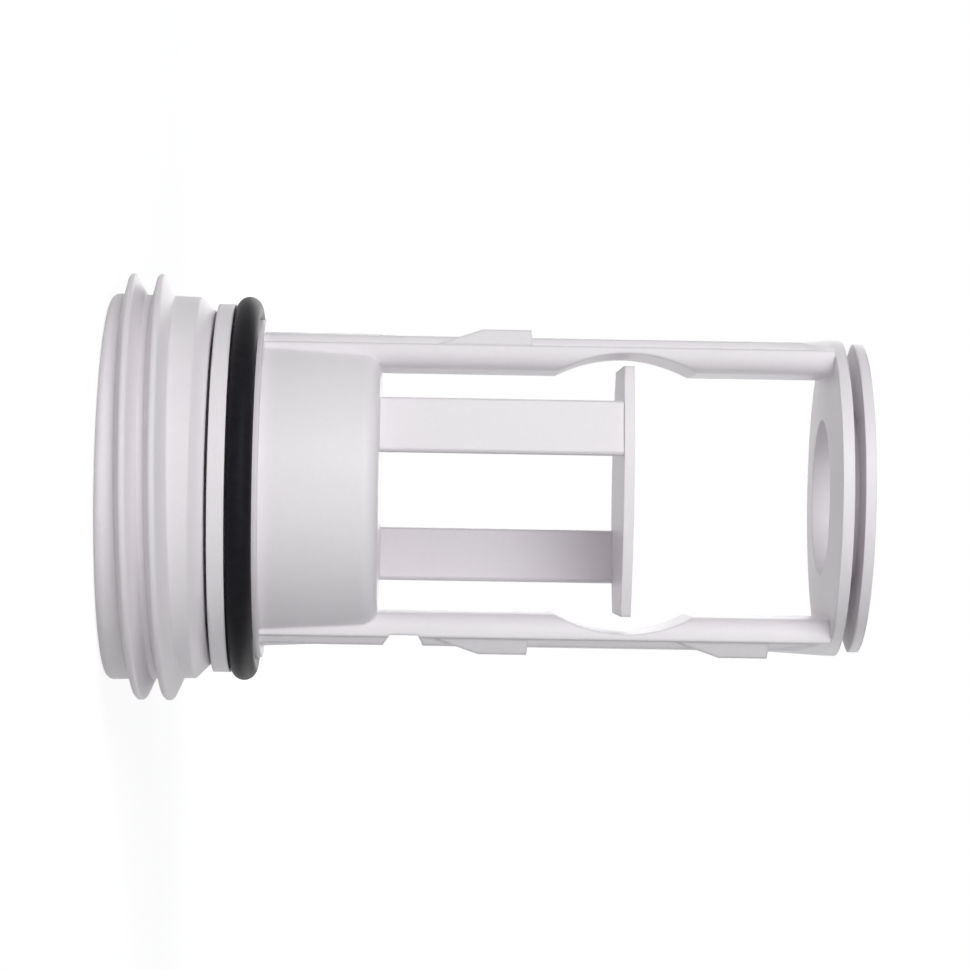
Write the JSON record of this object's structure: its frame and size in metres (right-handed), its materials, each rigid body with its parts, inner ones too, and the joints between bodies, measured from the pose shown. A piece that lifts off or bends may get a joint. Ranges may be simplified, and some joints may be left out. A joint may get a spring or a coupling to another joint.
{
  "type": "washing machine drain pump filter",
  "caption": "Drain pump filter for a washing machine: screw cap with a finger grip, a swivelling open cage with drum, baffle and lugs, and a rubber seal.",
  "frame": {"origin": "centre of the cap's outer face, which the filter stands on", "axes": "+Z along the filter's axis from the cap to the end plate; the struts stand at -X and +X and the windows open to -Y and +Y"},
  "size_m": [0.068, 0.068, 0.12],
  "materials": {
    "cap_plastic": "satin white moulding",
    "cage_plastic": "satin white moulding",
    "seal_rubber": "black rubber"
  },
  "bodies": {
    "cap": {"threaded_cap": "cap_plastic"},
    "cage": {"filter_cage": "cage_plastic", "seal_ring": "seal_rubber"}
  },
  "joints": [
    {"name": "cage_swivel", "type": "hinge", "parent": "cap", "child": "cage", "pos_m": [0, 0, 0.01705], "axis": [0, 0, 1], "continuous": true}
  ]
}
